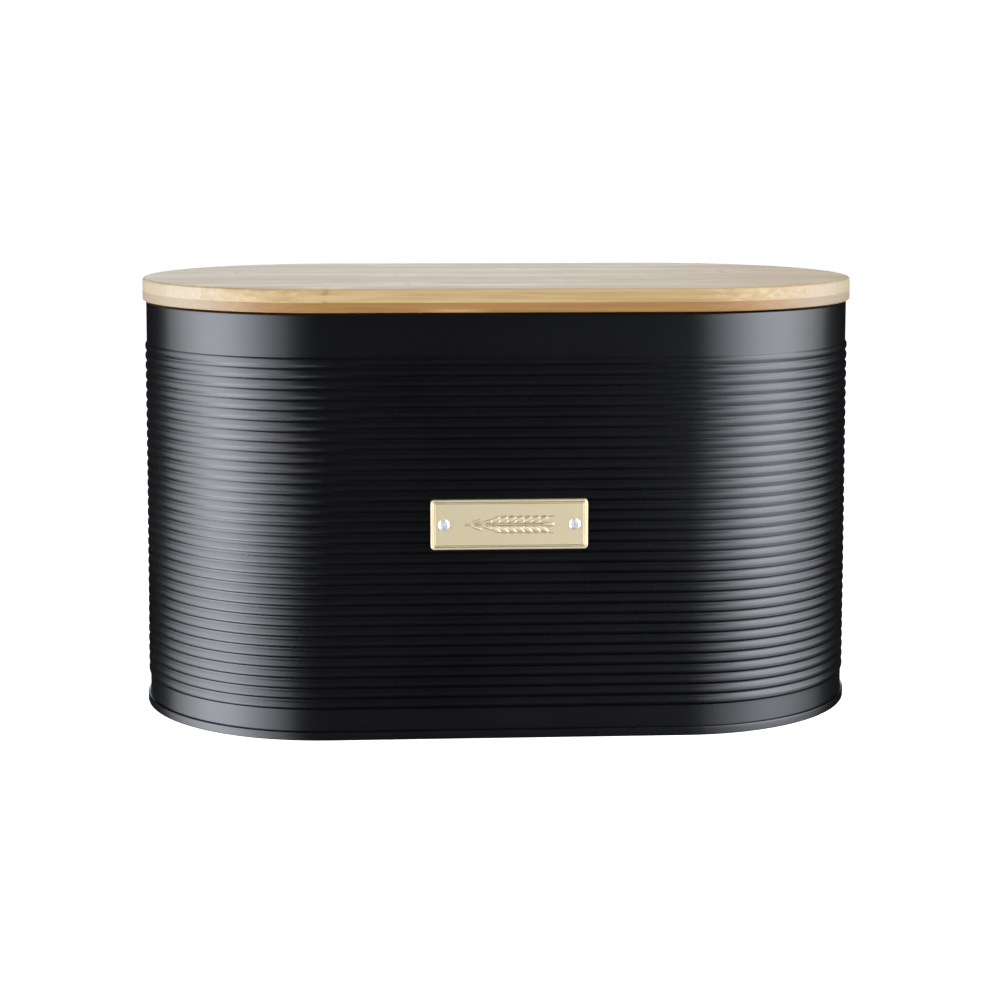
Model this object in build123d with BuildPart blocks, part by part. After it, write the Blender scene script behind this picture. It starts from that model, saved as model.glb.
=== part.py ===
from build123d import *
import math
import os

# Oval bread bin: beaded sheet-steel body, double-seamed base, riveted label plate, loose bamboo lid.
# Millimetres. Origin at the centre of the foot, +X along the width, the label faces -Y, +Z up.

# Driving dimensions: the smooth wall's outer face, seen from above, is a slot.
BODY_WIDTH = 335.0
BODY_DEPTH = 173.6
HEIGHT = 203.0

# Sheet steel, and the hair gap between folded layers
SHEET = 0.4
LAYER_GAP = 0.02
LAYER = SHEET + LAYER_GAP

# Beads rolled into the wall: crest arcs joined to tighter valley arcs
BEAD_COUNT = 34
BEAD_FIRST_CREST = 15.9
BEAD_LAST_CREST = 170.6
BEAD_HEIGHT = 0.75
CREST_SHARE = 0.74

# Lid plies, from the top down
TOP_PLY = 6.0
UNDER_PLY = 4.5
PLUG_PLY = 5.0
LID_OVERHANG = 1.6
LID_REST_GAP = 0.3
LID_TOP_ROUND = 1.2
LID_UNDER_CHAMFER = 0.5
TOP_STRIPS = 9
UNDER_STRIPS = 8
PLUG_STRIPS = 8

# Curled rim at the wall's top
CURL_RADIUS = 1.3
CURL_TURN = 270.0

# Double seam at the foot
SEAM_HEIGHT = 4.0
SEAM_BEND = 0.4
COVER_HOOK_END = 1.15
BODY_HOOK_SLACK = 0.3

# Recessed base panel with one pressed step
PANEL_HEIGHT = 4.6
PANEL_STEP_RISE = 0.8
PANEL_STEP_INSET = 13.0
PANEL_CENTRE_INSET = 18.0
PANEL_BEND = 0.9

# Lap where the ends of the wall strip meet, inside at the back
LAP_WIDTH = 6.0
LAP_LOW = 6.0
LAP_HIGH = 188.0

# Label plate
LABEL_WIDTH = 70.4
LABEL_HEIGHT = 22.7
LABEL_CORNER = 2.0
LABEL_SHEET = 0.6
LABEL_CENTRE_HEIGHT = 97.6
LABEL_BORDER_INSET = 0.7
LABEL_BORDER_WIDTH = 1.3
LABEL_BORDER_RISE = 0.35

# Wheat ear in relief on the label
EAR_GRAINS = 7
EAR_GRAIN_SPACING = 3.6
EAR_GRAIN_LENGTH = 4.6
EAR_GRAIN_WIDTH = 1.9
EAR_GRAIN_TILT = 32.0
EAR_GRAIN_OFFSET = 2.2
EAR_STEM_LENGTH = 40.0
EAR_STEM_WIDTH = 0.8
EAR_RISE = 0.35

# Blind rivets
RIVET_SPACING = 58.6
RIVET_HEAD_RADIUS = 2.65
RIVET_HEAD_RISE = 1.1
RIVET_SHANK_RADIUS = 1.6
RIVET_HOLE_RADIUS = 1.65
RIVET_BULB_RADIUS = 2.3
RIVET_BULB_LENGTH = 2.2
RIVET_SEAT_GAP = 0.05
STEM_RADIUS = 0.83
STEM_BORE_RADIUS = 0.85
STEM_RECESS = 0.45
STEM_HEAD_RADIUS = 1.45
STEM_HEAD_LENGTH = 1.2

# Plug and seal
PLUG_INSET = 3.9
SEAL_GROOVE_DEPTH = 1.6
SEAL_GROOVE_HEIGHT = 2.4
SEAL_PLAY = 0.05
SEAL_LIP = 0.5

# Worked out from the dimensions above
END_RADIUS = BODY_DEPTH / 2
END_CENTRE = (BODY_WIDTH - BODY_DEPTH) / 2
LID_HEIGHT = HEIGHT - TOP_PLY
LID_SEAT = LID_HEIGHT - UNDER_PLY
RIM_TOP = LID_SEAT - LID_REST_GAP
CURL_CENTRE = RIM_TOP - CURL_RADIUS - SHEET / 2
BEAD_PITCH = (BEAD_LAST_CREST - BEAD_FIRST_CREST) / (BEAD_COUNT - 1)
BEAD_ANGLE = 2 * math.atan2(BEAD_HEIGHT, BEAD_PITCH / 2)
BEAD_RADII = BEAD_PITCH / 2 / math.sin(BEAD_ANGLE)
CREST_RADIUS = CREST_SHARE * BEAD_RADII
VALLEY_RADIUS = BEAD_RADII - CREST_RADIUS
LABEL_BACK = END_RADIUS + BEAD_HEIGHT

# Cross-sections of the ring-shaped pieces: x is the distance outside the smooth wall, y is the height
section_plane = Plane(origin=(END_CENTRE, -END_RADIUS, 0), x_dir=(0, -1, 0), z_dir=(-1, 0, 0))

os.makedirs("parts", exist_ok=True)


def slot_path():
    """The slot that every ring-shaped piece follows, from the right end of the straight front."""
    with BuildLine(Plane.XY) as path:
        Line((END_CENTRE, -END_RADIUS), (-END_CENTRE, -END_RADIUS))
        RadiusArc((-END_CENTRE, -END_RADIUS), (-END_CENTRE, END_RADIUS), END_RADIUS)
        Line((-END_CENTRE, END_RADIUS), (END_CENTRE, END_RADIUS))
        RadiusArc((END_CENTRE, END_RADIUS), (END_CENTRE, -END_RADIUS), END_RADIUS)
    return path.wire()


def offset_slot(offset, mode=Mode.ADD):
    """A slot offset outward from the smooth wall's outer face, in the sketch that calls it."""
    return SlotOverall(BODY_WIDTH + 2 * offset, BODY_DEPTH + 2 * offset, mode=mode)


def crest(wall_line, height):
    """The outward arc of one bead of the wall's centreline."""
    lean = wall_line + VALLEY_RADIUS * (1 - math.cos(BEAD_ANGLE))
    half = CREST_RADIUS * math.sin(BEAD_ANGLE)
    ThreePointArc((lean, height - half), (wall_line + BEAD_HEIGHT, height), (lean, height + half))


def valley(wall_line, height, below, above):
    """The tighter arc at a valley, or only its half below or above the valley's middle."""
    turn = math.degrees(BEAD_ANGLE)
    centre = (wall_line + VALLEY_RADIUS, height)
    CenterArc(centre, VALLEY_RADIUS, 180 + below * turn, -(below + above) * turn)


# Wall: a strip of sheet with a hook at the foot, beads and an inward curl at the rim
wall_line = -SHEET / 2
hook_line = 2 * LAYER - SHEET / 2
hook_bend = (hook_line - wall_line) / 2
hook_height = SHEET + LAYER_GAP + hook_bend + SHEET / 2
hook_top = SEAM_HEIGHT - SHEET - BODY_HOOK_SLACK
beads_low = BEAD_FIRST_CREST - BEAD_PITCH / 2
beads_high = BEAD_LAST_CREST + BEAD_PITCH / 2
with BuildPart() as wall_shell:
    with BuildSketch(section_plane):
        with BuildLine():
            Line((hook_line, hook_top), (hook_line, hook_height))
            CenterArc((wall_line + hook_bend, hook_height), hook_bend, 0, -180)
            Line((wall_line, hook_height), (wall_line, beads_low))
            valley(wall_line, beads_low, below=0, above=1)
            for index in range(BEAD_COUNT):
                crest(wall_line, BEAD_FIRST_CREST + index * BEAD_PITCH)
            for index in range(1, BEAD_COUNT):
                valley(wall_line, beads_low + index * BEAD_PITCH, below=1, above=1)
            valley(wall_line, beads_high, below=1, above=0)
            Line((wall_line, beads_high), (wall_line, CURL_CENTRE))
            CenterArc((wall_line - CURL_RADIUS, CURL_CENTRE), CURL_RADIUS, 0, CURL_TURN)
        trace(line_width=SHEET)
    sweep(path=slot_path())
    with BuildSketch(Plane.XY.offset(LAP_LOW)):
        with Locations((0, END_RADIUS - 1.5 * SHEET)):
            Rectangle(LAP_WIDTH, SHEET)
    extrude(amount=LAP_HIGH - LAP_LOW)
    with BuildSketch(Plane.XZ.offset(END_RADIUS - 2 * SHEET)):
        with Locations((0, LABEL_CENTRE_HEIGHT)):
            with GridLocations(RIVET_SPACING, 0, 2, 1):
                Circle(RIVET_HOLE_RADIUS)
    extrude(amount=BEAD_HEIGHT + 3 * SHEET, mode=Mode.SUBTRACT)
wall_shell.part.label = "wall_shell"
export_step(wall_shell.part, "parts/wall_shell.step")


# Base: a recessed panel whose edge goes down inside the wall, out under it, up, over and down again
chuck_line = -SHEET - LAYER_GAP - SHEET / 2
seaming_line = 3 * LAYER - SHEET / 2
cover_hook_line = LAYER_GAP + SHEET / 2
panel_line = PANEL_HEIGHT - SHEET / 2
centre_line = panel_line + PANEL_STEP_RISE
with BuildPart() as base_pan:
    with BuildSketch(section_plane):
        with BuildLine():
            FilletPolyline(
                (-PANEL_CENTRE_INSET, centre_line),
                (-PANEL_STEP_INSET - PANEL_BEND, centre_line),
                (-PANEL_STEP_INSET + PANEL_BEND, panel_line),
                (chuck_line, panel_line),
                (chuck_line, SHEET / 2),
                (seaming_line, SHEET / 2),
                (seaming_line, SEAM_HEIGHT - SHEET / 2),
                (cover_hook_line, SEAM_HEIGHT - SHEET / 2),
                (cover_hook_line, COVER_HOOK_END),
                radius=SEAM_BEND,
            )
        trace(line_width=SHEET)
    sweep(path=slot_path())
    with BuildSketch(Plane.XY.offset(centre_line - SHEET / 2)):
        offset_slot(-PANEL_CENTRE_INSET)
    extrude(amount=SHEET)
base_pan.part.label = "base_pan"
export_step(base_pan.part, "parts/base_pan.step")


# Label: a plate lying on the bead crests, with a raised border and a wheat ear in relief
label_back = Plane(origin=(0, -LABEL_BACK, LABEL_CENTRE_HEIGHT), x_dir=(1, 0, 0), z_dir=(0, -1, 0))
label_front = label_back.offset(LABEL_SHEET)
border_outer = (LABEL_WIDTH - 2 * LABEL_BORDER_INSET, LABEL_HEIGHT - 2 * LABEL_BORDER_INSET)
border_inner = (border_outer[0] - 2 * LABEL_BORDER_WIDTH, border_outer[1] - 2 * LABEL_BORDER_WIDTH)
with BuildPart() as label_plate:
    with BuildSketch(label_back):
        RectangleRounded(LABEL_WIDTH, LABEL_HEIGHT, LABEL_CORNER)
    extrude(amount=LABEL_SHEET)
    with BuildSketch(label_front):
        RectangleRounded(*border_outer, LABEL_CORNER - LABEL_BORDER_INSET)
        RectangleRounded(*border_inner, LABEL_CORNER / 2, mode=Mode.SUBTRACT)
    extrude(amount=LABEL_BORDER_RISE)
    with BuildSketch(label_front):
        Rectangle(EAR_STEM_LENGTH, EAR_STEM_WIDTH)
        for side in (-1, 1):
            with Locations((EAR_GRAIN_LENGTH, side * EAR_GRAIN_OFFSET)):
                with GridLocations(EAR_GRAIN_SPACING, 0, EAR_GRAINS, 1):
                    Ellipse(EAR_GRAIN_LENGTH / 2, EAR_GRAIN_WIDTH / 2, rotation=side * EAR_GRAIN_TILT)
    extrude(amount=EAR_RISE)
    with BuildSketch(label_back):
        with GridLocations(RIVET_SPACING, 0, 2, 1):
            Circle(RIVET_HOLE_RADIUS)
    extrude(amount=LABEL_SHEET, mode=Mode.SUBTRACT)
label_plate.part.label = "label_plate"
export_step(label_plate.part, "parts/label_plate.step")


# Blind rivets, as half sections: x is the distance from the rivet's axis, y points out of the label
bulb_front = -(LABEL_SHEET + BEAD_HEIGHT + SHEET + RIVET_SEAT_GAP)
bulb_back = bulb_front - RIVET_BULB_LENGTH


def rivet_plane(side):
    return Plane(
        origin=(side * RIVET_SPACING / 2, -LABEL_BACK - LABEL_SHEET, LABEL_CENTRE_HEIGHT),
        x_dir=(1, 0, 0),
        z_dir=(0, 0, 1),
    ).rotated((180, 0, 0))


def rivet_body(plane):
    """Domed head, shank through the plate and wall, and the bulb that grips the wall's inside."""
    with BuildPart() as rivet:
        with BuildSketch(plane):
            with BuildLine():
                crown = (STEM_BORE_RADIUS, RIVET_HEAD_RISE)
                rim = (RIVET_HEAD_RADIUS, 0)
                Line((STEM_BORE_RADIUS, bulb_back), crown)
                RadiusArc(crown, rim, RIVET_HEAD_RADIUS)
                Line(rim, (RIVET_SHANK_RADIUS, 0))
                Line((RIVET_SHANK_RADIUS, 0), (RIVET_SHANK_RADIUS, bulb_front))
                Line((RIVET_SHANK_RADIUS, bulb_front), (RIVET_BULB_RADIUS, bulb_front))
                RadiusArc((RIVET_BULB_RADIUS, bulb_front), (STEM_HEAD_RADIUS, bulb_back), RIVET_BULB_RADIUS)
                Line((STEM_HEAD_RADIUS, bulb_back), (STEM_BORE_RADIUS, bulb_back))
            make_face()
        revolve(axis=Axis(plane.origin, plane.y_dir))
    return rivet.part


def rivet_stem(plane):
    """The broken mandrel: a pin in the rivet's bore, with its head behind the bulb."""
    head_back = bulb_back - STEM_HEAD_LENGTH
    with BuildPart() as stem:
        with BuildSketch(plane):
            with BuildLine():
                Polyline(
                    (STEM_HEAD_RADIUS, bulb_back),
                    (STEM_RADIUS, bulb_back),
                    (STEM_RADIUS, RIVET_HEAD_RISE - STEM_RECESS),
                    (0, RIVET_HEAD_RISE - STEM_RECESS),
                    (0, head_back),
                )
                RadiusArc((0, head_back), (STEM_HEAD_RADIUS, bulb_back), -STEM_HEAD_RADIUS)
            make_face()
        revolve(axis=Axis(plane.origin, plane.y_dir))
    return stem.part


for side, side_name in ((-1, "left"), (1, "right")):
    plane = rivet_plane(side)
    for piece_name, piece in (("label_rivet", rivet_body(plane)), ("rivet_stem", rivet_stem(plane))):
        piece.label = f"{piece_name}_{side_name}"
        export_step(piece, f"parts/{piece.label}.step")


# Lid: three plies of edge-glued bamboo strips that run along X
def ply_strip(offset, low, high, strip, strips):
    """One strip of a ply, cut to the ply's slot outline."""
    depth = BODY_DEPTH + 2 * offset
    strip_width = depth / strips
    middle = -depth / 2 + (strip + 0.5) * strip_width
    with BuildPart() as piece:
        with BuildSketch(Plane.XY.offset(low)):
            offset_slot(offset)
        extrude(amount=high - low)
        if high == HEIGHT:
            fillet(piece.edges().group_by(Axis.Z)[-1], radius=LID_TOP_ROUND)
        if low == LID_SEAT:
            chamfer(piece.edges().group_by(Axis.Z)[0], length=LID_UNDER_CHAMFER)
        if high == LID_SEAT:
            with BuildSketch(Plane.XY.offset(CURL_CENTRE - SEAL_GROOVE_HEIGHT / 2)):
                offset_slot(offset)
                offset_slot(offset - SEAL_GROOVE_DEPTH, mode=Mode.SUBTRACT)
            extrude(amount=SEAL_GROOVE_HEIGHT, mode=Mode.SUBTRACT)
        with BuildSketch(Plane.XY.offset(low)):
            with Locations((0, middle)):
                Rectangle(BODY_WIDTH + 2 * offset, strip_width)
        extrude(amount=high - low, mode=Mode.INTERSECT)
    return piece.part


plies = (
    ("top_strip", LID_OVERHANG, LID_HEIGHT, HEIGHT, TOP_STRIPS),
    ("under_strip", LID_OVERHANG, LID_SEAT, LID_HEIGHT, UNDER_STRIPS),
    ("plug_strip", -PLUG_INSET, LID_SEAT - PLUG_PLY, LID_SEAT, PLUG_STRIPS),
)
for ply_name, offset, low, high, strips in plies:
    for strip in range(strips):
        piece = ply_strip(offset, low, high, strip, strips)
        piece.label = f"{ply_name}_{strip + 1}"
        export_step(piece, f"parts/{piece.label}.step")


# Seal: a flat-backed silicone ring with two lips, seated in the plug's groove
seal_back = -PLUG_INSET - SEAL_GROOVE_DEPTH + SEAL_PLAY
seal_half = SEAL_GROOVE_HEIGHT / 2 - SEAL_PLAY
with BuildPart() as lid_seal:
    with BuildSketch(section_plane):
        with BuildLine():
            Polyline(
                (seal_back, CURL_CENTRE - seal_half),
                (-PLUG_INSET, CURL_CENTRE - seal_half),
                (-PLUG_INSET + SEAL_LIP, CURL_CENTRE - seal_half / 2),
                (-PLUG_INSET, CURL_CENTRE),
                (-PLUG_INSET + SEAL_LIP, CURL_CENTRE + seal_half / 2),
                (-PLUG_INSET, CURL_CENTRE + seal_half),
                (seal_back, CURL_CENTRE + seal_half),
                close=True,
            )
        make_face()
    sweep(path=slot_path())
lid_seal.part.label = "lid_seal"
export_step(lid_seal.part, "parts/lid_seal.step")
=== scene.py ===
"""Oval bread bin: the visible pieces, materials, light and camera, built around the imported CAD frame.

The pieces' lengths are in millimetres until a mesh is made, and their places come from the frame. The
floor, the lights and the camera are in metres.
"""

import math

import bmesh
import bpy
import numpy as np
from mathutils import Matrix, Vector


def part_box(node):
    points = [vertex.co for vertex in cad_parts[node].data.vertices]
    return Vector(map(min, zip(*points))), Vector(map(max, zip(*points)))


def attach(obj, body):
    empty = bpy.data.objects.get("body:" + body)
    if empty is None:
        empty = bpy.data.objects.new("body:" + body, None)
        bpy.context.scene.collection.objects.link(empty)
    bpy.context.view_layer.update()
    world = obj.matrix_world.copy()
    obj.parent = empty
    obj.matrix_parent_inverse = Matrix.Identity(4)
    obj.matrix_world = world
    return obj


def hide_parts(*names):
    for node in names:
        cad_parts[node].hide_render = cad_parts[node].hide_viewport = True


MM = 0.001

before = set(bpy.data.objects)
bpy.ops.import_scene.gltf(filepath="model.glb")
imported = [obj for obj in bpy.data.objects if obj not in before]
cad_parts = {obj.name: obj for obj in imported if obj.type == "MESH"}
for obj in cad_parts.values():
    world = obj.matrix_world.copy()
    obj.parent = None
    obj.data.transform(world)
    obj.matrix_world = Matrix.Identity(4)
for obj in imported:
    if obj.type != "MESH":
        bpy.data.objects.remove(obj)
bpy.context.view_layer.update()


def box_mm(node):
    """Lowest and highest corner of a CAD node, in millimetres."""
    low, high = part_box(node)
    return low / MM, high / MM


# ---------------------------------------------------------------- sizes

# Sheet steel and the double seam at the foot
SHEET = 0.4
LAYER_GAP = 0.02
LAYER = SHEET + LAYER_GAP
SEAM_PROUD = 3 * LAYER
SEAM_HEIGHT = 4.0
SEAM_BEND = 0.4

foot_high = box_mm("base_pan")[1]
rim_top = box_mm("wall_shell")[1].z
half_width = foot_high.x - SEAM_PROUD
end_radius = foot_high.y - SEAM_PROUD
end_centre = half_width - end_radius

# Beads and rim of the wall
BEAD_COUNT = 34
BEAD_FIRST_CREST = 15.9
BEAD_LAST_CREST = 170.6
BEAD_HEIGHT = 0.75
CREST_SHARE = 0.74
CURL_RADIUS = 1.3
BEAD_PITCH = (BEAD_LAST_CREST - BEAD_FIRST_CREST) / (BEAD_COUNT - 1)
BEAD_ANGLE = 2 * math.atan2(BEAD_HEIGHT, BEAD_PITCH / 2)
BEAD_RADII = BEAD_PITCH / 2 / math.sin(BEAD_ANGLE)
CREST_RADIUS = CREST_SHARE * BEAD_RADII
VALLEY_RADIUS = BEAD_RADII - CREST_RADIUS
curl_centre = rim_top - CURL_RADIUS - SHEET / 2

# Lid plies
under_low, under_high = box_mm("under_strip_1")
top_low, top_high = box_mm("top_strip_1")
plug_low, plug_high = box_mm("plug_strip_1")
lid_offset = box_mm("top_strip_5")[1].x - half_width
plug_offset = box_mm("plug_strip_4")[1].x - half_width


# ---------------------------------------------------------------- mesh helpers

MERGE_DISTANCE = 1e-7
NEARLY_ZERO = 1e-6


def finish_mesh(name, vertices, faces, sharp_angle=35.0):
    """A smooth-shaded object from vertices in millimetres, with creases sharper than the angle kept."""
    mesh = bpy.data.meshes.new(name)
    mesh.from_pydata((np.asarray(vertices, float) * MM).tolist(), [], faces)
    tidy = bmesh.new()
    tidy.from_mesh(mesh)
    bmesh.ops.remove_doubles(tidy, verts=tidy.verts, dist=MERGE_DISTANCE)
    bmesh.ops.recalc_face_normals(tidy, faces=tidy.faces)
    tidy.to_mesh(mesh)
    tidy.free()
    mesh.shade_smooth()
    mesh.set_sharp_from_angle(angle=math.radians(sharp_angle))
    obj = bpy.data.objects.new(name, mesh)
    bpy.context.scene.collection.objects.link(obj)
    return obj


def slot_stations(end_steps, straight_xs, front_xs=None):
    """Points round the smooth wall's slot, counterclockwise: x, y, outward normal x and y.

    The back's straight takes the first list of x from right to left, and so does the front's, turned
    about, unless it has a list of its own.
    """
    rows = []
    for side, xs in ((1, straight_xs), (-1, straight_xs if front_xs is None else front_xs)):
        for step in range(end_steps + 1):
            angle = math.pi * (step / end_steps - 0.5)
            nx, ny = side * math.cos(angle), side * math.sin(angle)
            rows.append((side * end_centre + end_radius * nx, end_radius * ny, nx, ny))
        for x in xs:
            rows.append((side * x, side * end_radius, 0.0, side))
    return np.array(rows)


def ring_faces(rows, columns, wrap_columns=True):
    """Quads of a grid whose rows close into a ring, and whose columns may too."""
    faces = []
    for row in range(rows):
        here, after = row * columns, (row + 1) % rows * columns
        for column in range(columns if wrap_columns else columns - 1):
            beside = (column + 1) % columns
            faces.append((here + column, after + column, after + beside, here + beside))
    return faces


def grid_faces(rows, columns, start=0):
    """Quads of an open grid whose vertices begin at a given index."""
    faces = []
    for row in range(rows - 1):
        for column in range(columns - 1):
            first = start + row * columns + column
            faces.append((first, first + 1, first + columns + 1, first + columns))
    return faces


def place_section(stations, offsets, heights):
    """Vertices of a section carried round the slot; offsets may differ from station to station."""
    offsets = np.broadcast_to(offsets, (len(stations), len(heights)))
    x = stations[:, 0:1] + stations[:, 2:3] * offsets
    y = stations[:, 1:2] + stations[:, 3:4] * offsets
    z = np.broadcast_to(heights, offsets.shape)
    return np.stack([x, y, z], axis=-1).reshape(-1, 3)


def arc_points(centre, radius, start, end, steps):
    """Points and outward normals along an arc, as rows of x, y, normal x, normal y. Angles in degrees."""
    angles = np.radians(np.linspace(start, end, steps + 1))
    nx, ny = np.cos(angles), np.sin(angles)
    return np.stack([centre[0] + radius * nx, centre[1] + radius * ny, nx, ny], axis=1)


def rounded_line(points, radius, steps=6):
    """A polyline with rounded corners, as rows of x, y and its left-hand normal."""
    points = [Vector(p) for p in points]
    rows = []
    for index, point in enumerate(points):
        before = (point - points[index - 1]).normalized() if index else None
        after = (points[index + 1] - point).normalized() if index + 1 < len(points) else None
        if before is None or after is None:
            along = after or before
            rows.append((point.x, point.y, -along.y, along.x))
            continue
        turn = math.atan2(before.x * after.y - before.y * after.x, before.dot(after))
        cut = radius * math.tan(abs(turn) / 2)
        start = point - before * cut
        side = 1 if turn > 0 else -1
        centre = start + Vector((-before.y, before.x)) * radius * side
        for step in range(steps + 1):
            angle = turn * step / steps
            along = Matrix.Rotation(angle, 2) @ before
            normal = Vector((-along.y, along.x))
            spot = centre - normal * radius * side
            rows.append((spot.x, spot.y, normal.x, normal.y))
    return np.array(rows)


def thicken(outer_line, inner_line, thickness):
    """A closed section of even thickness, from one centreline given with finer and coarser points."""
    outer = outer_line[:, :2] + outer_line[:, 2:4] * thickness / 2
    inner = inner_line[:, :2] - inner_line[:, 2:4] * thickness / 2
    return np.concatenate([outer, inner[::-1]])


def lathe(name, profile, centre, hollow, steps=48):
    """A turned piece about an axis along -Y: profile rows are radius and distance out of the label.

    A hollow piece's profile closes on itself, and a full one's starts and ends on the axis.
    """
    vertices = []
    for step in range(steps):
        angle = 2 * math.pi * step / steps
        for radius, out in profile:
            vertices.append(
                (centre.x + radius * math.cos(angle), centre.y - out, centre.z + radius * math.sin(angle))
            )
    faces = ring_faces(steps, len(profile), wrap_columns=hollow)
    return finish_mesh(name, vertices, faces)


def grid_border(rows, columns):
    """Indices round a grid's edge."""
    border = [(0, column) for column in range(columns)]
    border += [(row, columns - 1) for row in range(1, rows)]
    border += [(rows - 1, column) for column in range(columns - 2, -1, -1)]
    border += [(row, 0) for row in range(rows - 2, 0, -1)]
    return border


def smoothstep(low, high, value):
    """From 0 below one value to 1 above another, with a smooth run between."""
    share = np.clip((value - low) / (high - low), 0.0, 1.0)
    return share * share * (3 - 2 * share)


# ---------------------------------------------------------------- material helpers


class Nodes:
    """A material's node tree, with short calls for the nodes used here."""

    def __init__(self, name):
        self.material = bpy.data.materials.new(name)
        self.material.use_nodes = True
        self.tree = self.material.node_tree
        self.shader = self.tree.nodes["Principled BSDF"]

    def link(self, source, target):
        self.tree.links.new(source, target)

    def add(self, kind, **inputs):
        """A node of that kind. Inputs are sockets to link or values to set; names use _ for a space."""
        node = self.tree.nodes.new(kind)
        for key, value in inputs.items():
            self.feed(node, key.replace("_", " "), value)
        return node

    def feed(self, node, socket, value):
        """Links or sets an input, which is given by its name or by its number as text."""
        target = node.inputs[int(socket)] if socket.isdigit() else node.inputs[socket]
        if isinstance(value, bpy.types.NodeSocket):
            self.link(value, target)
        else:
            target.default_value = value

    def math(self, operation, first, second=None):
        node = self.tree.nodes.new("ShaderNodeMath")
        node.operation = operation
        self.feed(node, "0", first)
        if second is not None:
            self.feed(node, "1", second)
        return node.outputs[0]

    def scale(self, value, times, plus):
        """A value multiplied by one number, with another added."""
        result = self.math("MULTIPLY_ADD", value, times)
        result.node.inputs[2].default_value = plus
        return result

    def mix(self, factor, first, second):
        node = self.tree.nodes.new("ShaderNodeMix")
        node.data_type = "RGBA"
        self.feed(node, "Factor", factor)
        self.feed(node, "6", first)
        self.feed(node, "7", second)
        return node.outputs[2]

    def ramp(self, factor, *stops):
        """A smooth colour ramp; stops are (position, value) with a grey value or a colour."""
        node = self.tree.nodes.new("ShaderNodeValToRGB")
        node.color_ramp.interpolation = "EASE"
        while len(node.color_ramp.elements) < len(stops):
            node.color_ramp.elements.new(0.5)
        for element, (position, value) in zip(node.color_ramp.elements, stops):
            element.position = position
            element.color = value if isinstance(value, tuple) else (value, value, value, 1)
        self.link(factor, node.inputs[0])
        return node.outputs[0]

    def place(self, scale=(1, 1, 1), shift=None):
        """The piece's own coordinates in millimetres, scaled axis by axis, with a shift added if given."""
        source = self.tree.nodes.new("ShaderNodeTexCoord").outputs["Object"]
        node = self.tree.nodes.new("ShaderNodeMapping")
        node.inputs["Scale"].default_value = [s / MM for s in scale]
        self.link(source, node.inputs["Vector"])
        if shift is None:
            return node.outputs[0]
        add = self.tree.nodes.new("ShaderNodeVectorMath")
        add.operation = "ADD"
        self.link(node.outputs[0], add.inputs[0])
        self.link(shift, add.inputs[1])
        return add.outputs[0]

    def noise(self, vector, detail=2.0, roughness=0.5, distortion=0.0):
        node = self.tree.nodes.new("ShaderNodeTexNoise")
        self.feed(node, "Vector", vector)
        self.feed(node, "Scale", 1.0)
        self.feed(node, "Detail", detail)
        self.feed(node, "Roughness", roughness)
        self.feed(node, "Distortion", distortion)
        return node.outputs[0]

    def bump(self, height, distance_mm, strength):
        node = self.tree.nodes.new("ShaderNodeBump")
        node.inputs["Distance"].default_value = distance_mm * MM
        node.inputs["Strength"].default_value = strength
        self.link(height, node.inputs["Height"])
        return node.outputs[0]

    def set(self, **inputs):
        """Links or sets inputs of the material's main shader."""
        for key, value in inputs.items():
            self.feed(self.shader, key.replace("_", " "), value)


# ---------------------------------------------------------------- materials


COAT_COLOURS = (0.0004, 0.0004, 0.0005, 1), (0.0010, 0.0010, 0.0011, 1)
COAT_TINT = (0.90, 0.925, 1.0, 1)


def black_coat():
    """Satin black powder coat: fine orange peel and faint unevenness of gloss."""
    nodes = Nodes("black_powder_coat")
    peel = nodes.noise(nodes.place((0.4, 0.4, 0.4)), detail=1.0)
    broad = nodes.noise(nodes.place((0.02, 0.02, 0.02)), detail=2.0)
    colour = nodes.mix(broad, *COAT_COLOURS)
    nodes.set(Base_Color=colour, Roughness=nodes.scale(broad, times=0.05, plus=0.25))
    nodes.set(Specular_IOR_Level=0.88, Specular_Tint=COAT_TINT)
    nodes.set(Normal=nodes.bump(peel, distance_mm=0.006, strength=0.5))
    return nodes.material


# Node marks of the bamboo: how far apart they are, how much they waver, and their half widths as
# shares of that distance. The seed moves each strip's marks and its grain along.
NODE_SPACING = 236.0
NODE_WAVER = 9.0
NODE_HALF_SHARE = 0.011
FLAME_HALF_SHARE = 0.085
NODE_SHIFT = 97.0
GRAIN_SHIFT = 613.0

# The bamboo's colours: grain from dull to bright in a pale ply and in a deep one
PALE_GRAIN = (0.530, 0.385, 0.190, 1), (0.770, 0.600, 0.355, 1)
DEEP_GRAIN = (0.310, 0.152, 0.044, 1), (0.405, 0.222, 0.070, 1)

# Fibres, flames and cut ends, each in a pale ply and in a deep one; and marks that are alike in both
DARK_FIBRE = (0.420, 0.265, 0.110, 1), (0.300, 0.145, 0.045, 1)
FLAME = (0.780, 0.620, 0.370, 1), (0.560, 0.350, 0.150, 1)
CUT_END = (0.462, 0.410, 0.328, 1), (0.358, 0.308, 0.238, 1)
DULL_END = (0.300, 0.200, 0.100, 1)
KNOT = (0.300, 0.165, 0.065, 1)
BUNDLE = (0.330, 0.215, 0.105, 1)


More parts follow.
